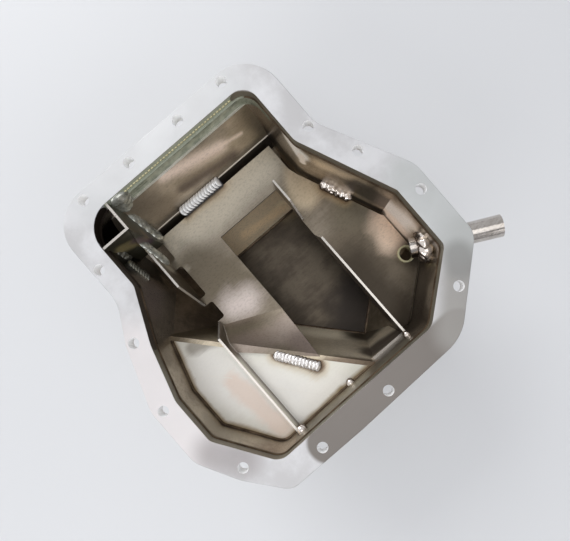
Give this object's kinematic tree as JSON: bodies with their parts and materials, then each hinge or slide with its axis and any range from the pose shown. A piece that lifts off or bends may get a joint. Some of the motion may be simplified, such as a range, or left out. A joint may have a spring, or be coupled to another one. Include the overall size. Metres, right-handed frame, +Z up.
{
  "type": "engine oil pan",
  "caption": "Welded sheet-steel engine oil pan with a machined flange, a deep sump, a shallow shelf, an internal baffle and a dipstick tube.",
  "frame": {"origin": "underside of the deep floor, under the middle of the flange's row of back bolt holes", "axes": "+Z up out of the open side, square to the gasket face; +X to the side with the tube; +Y to the wall over the ramp"},
  "size_m": [0.3197, 0.2858, 0.144],
  "materials": {
    "flange_steel": "satin, machined",
    "pan_sheet": "brushed sheet with brown heat tint",
    "baffle_sheet": "brushed sheet with light heat tint",
    "duct_sheet": "brushed sheet with brown heat tint",
    "pale_sheet": "pale brushed sheet",
    "tube_steel": "satin",
    "drain_steel": "satin",
    "washer_metal": "satin",
    "weld_metal": "bright rippled weld"
  },
  "bodies": {
    "root": {"baffle_back_weld": "weld_metal", "baffle_side_weld": "weld_metal", "baffle_tail_weld": "weld_metal", "corner_duct": "duct_sheet", "corner_panel": "pan_sheet", "dipstick_tube": "tube_steel", "drain_bung": "drain_steel", "drain_plug": "drain_steel", "drain_washer": "washer_metal", "duct_gusset": "duct_sheet", "duct_tacks": "weld_metal", "fin_tacks": "weld_metal", "flange": "flange_steel", "flange_weld": "weld_metal", "front_panel": "pan_sheet", "front_wall": "pan_sheet", "left_slope": "pan_sheet", "left_wall": "pan_sheet", "main_baffle": "baffle_sheet", "oil_collar": "tube_steel", "ramp_sheet": "pan_sheet", "right_wall": "pan_sheet", "shelf_floor": "pale_sheet", "shelf_wall": "pan_sheet", "shelf_weld": "weld_metal", "step_wall": "pan_sheet", "sump_floor": "pan_sheet", "sump_weld": "weld_metal", "top_collar": "pan_sheet", "tube_weld": "weld_metal", "waist_gusset": "pan_sheet", "waist_panel": "pan_sheet", "wing_floor": "pan_sheet"}
  },
  "joints": []
}
